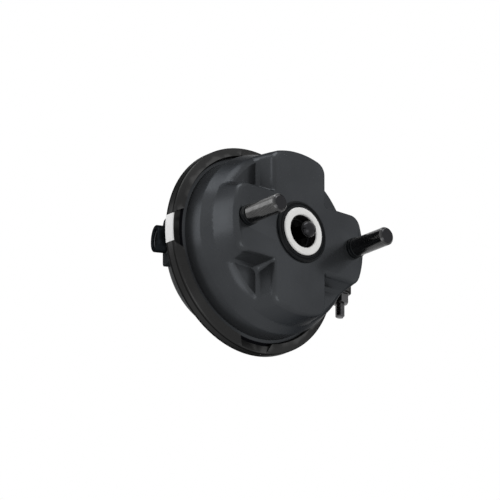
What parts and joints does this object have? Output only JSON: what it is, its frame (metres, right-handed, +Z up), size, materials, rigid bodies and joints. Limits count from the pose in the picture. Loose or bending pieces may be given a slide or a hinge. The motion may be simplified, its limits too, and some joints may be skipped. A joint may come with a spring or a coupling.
{
  "type": "diaphragm brake cylinder",
  "caption": "Air brake cylinder with a four-armed mounting face, studs, a clamped diaphragm and a sprung push rod.",
  "frame": {"origin": "centre of the mounting face, midway between the studs", "axes": "-Y out of the mounting face along the push rod, +X towards the clamp bolt, +Z up"},
  "size_m": [0.2041, 0.153, 0.1824],
  "materials": {
    "housing_paint": "glossy dark grey coating",
    "cover_paint": "glossy near-black coating",
    "port_steel": "glossy black coating",
    "band_steel": "glossy near-black coating",
    "fastener_steel": "zinc plated",
    "label_film": "blank white film",
    "diaphragm_rubber": "fabric-backed black rubber",
    "plate_steel": "pressed steel",
    "rod_steel": "dark turned steel",
    "spring_steel": "dark spring wire",
    "boot_rubber": "moulded black rubber",
    "clip_steel": "steel wire",
    "seal_rubber": "moulded black rubber",
    "guide_plastic": "white moulded plastic",
    "stud_steel": "dark plated steel"
  },
  "bodies": {
    "casing": {"front_housing": "housing_paint", "rear_cover": "cover_paint", "port_boss": "port_steel", "clamp_band": "band_steel", "clamp_bolt": "fastener_steel", "clamp_nut": "fastener_steel", "clamp_washers": "fastener_steel", "band_label": "label_film", "diaphragm": "diaphragm_rubber", "return_spring": "spring_steel", "rod_boot": "boot_rubber", "face_seal": "seal_rubber", "guide_ring": "guide_plastic", "stud_left": "stud_steel", "stud_right": "stud_steel", "stud_seal_left": "seal_rubber", "stud_seal_right": "seal_rubber"},
    "rod": {"push_rod": "rod_steel", "push_plate": "plate_steel", "boot_clip": "clip_steel"}
  },
  "joints": [
    {"name": "rod_stroke", "type": "slide", "parent": "casing", "child": "rod", "axis": [0, -1, 0], "range_m": [0, 0.057], "stiffness_N_per_m": 2000, "springref_m": -0.03, "deforming": ["return_spring", "diaphragm", "rod_boot"]}
  ]
}
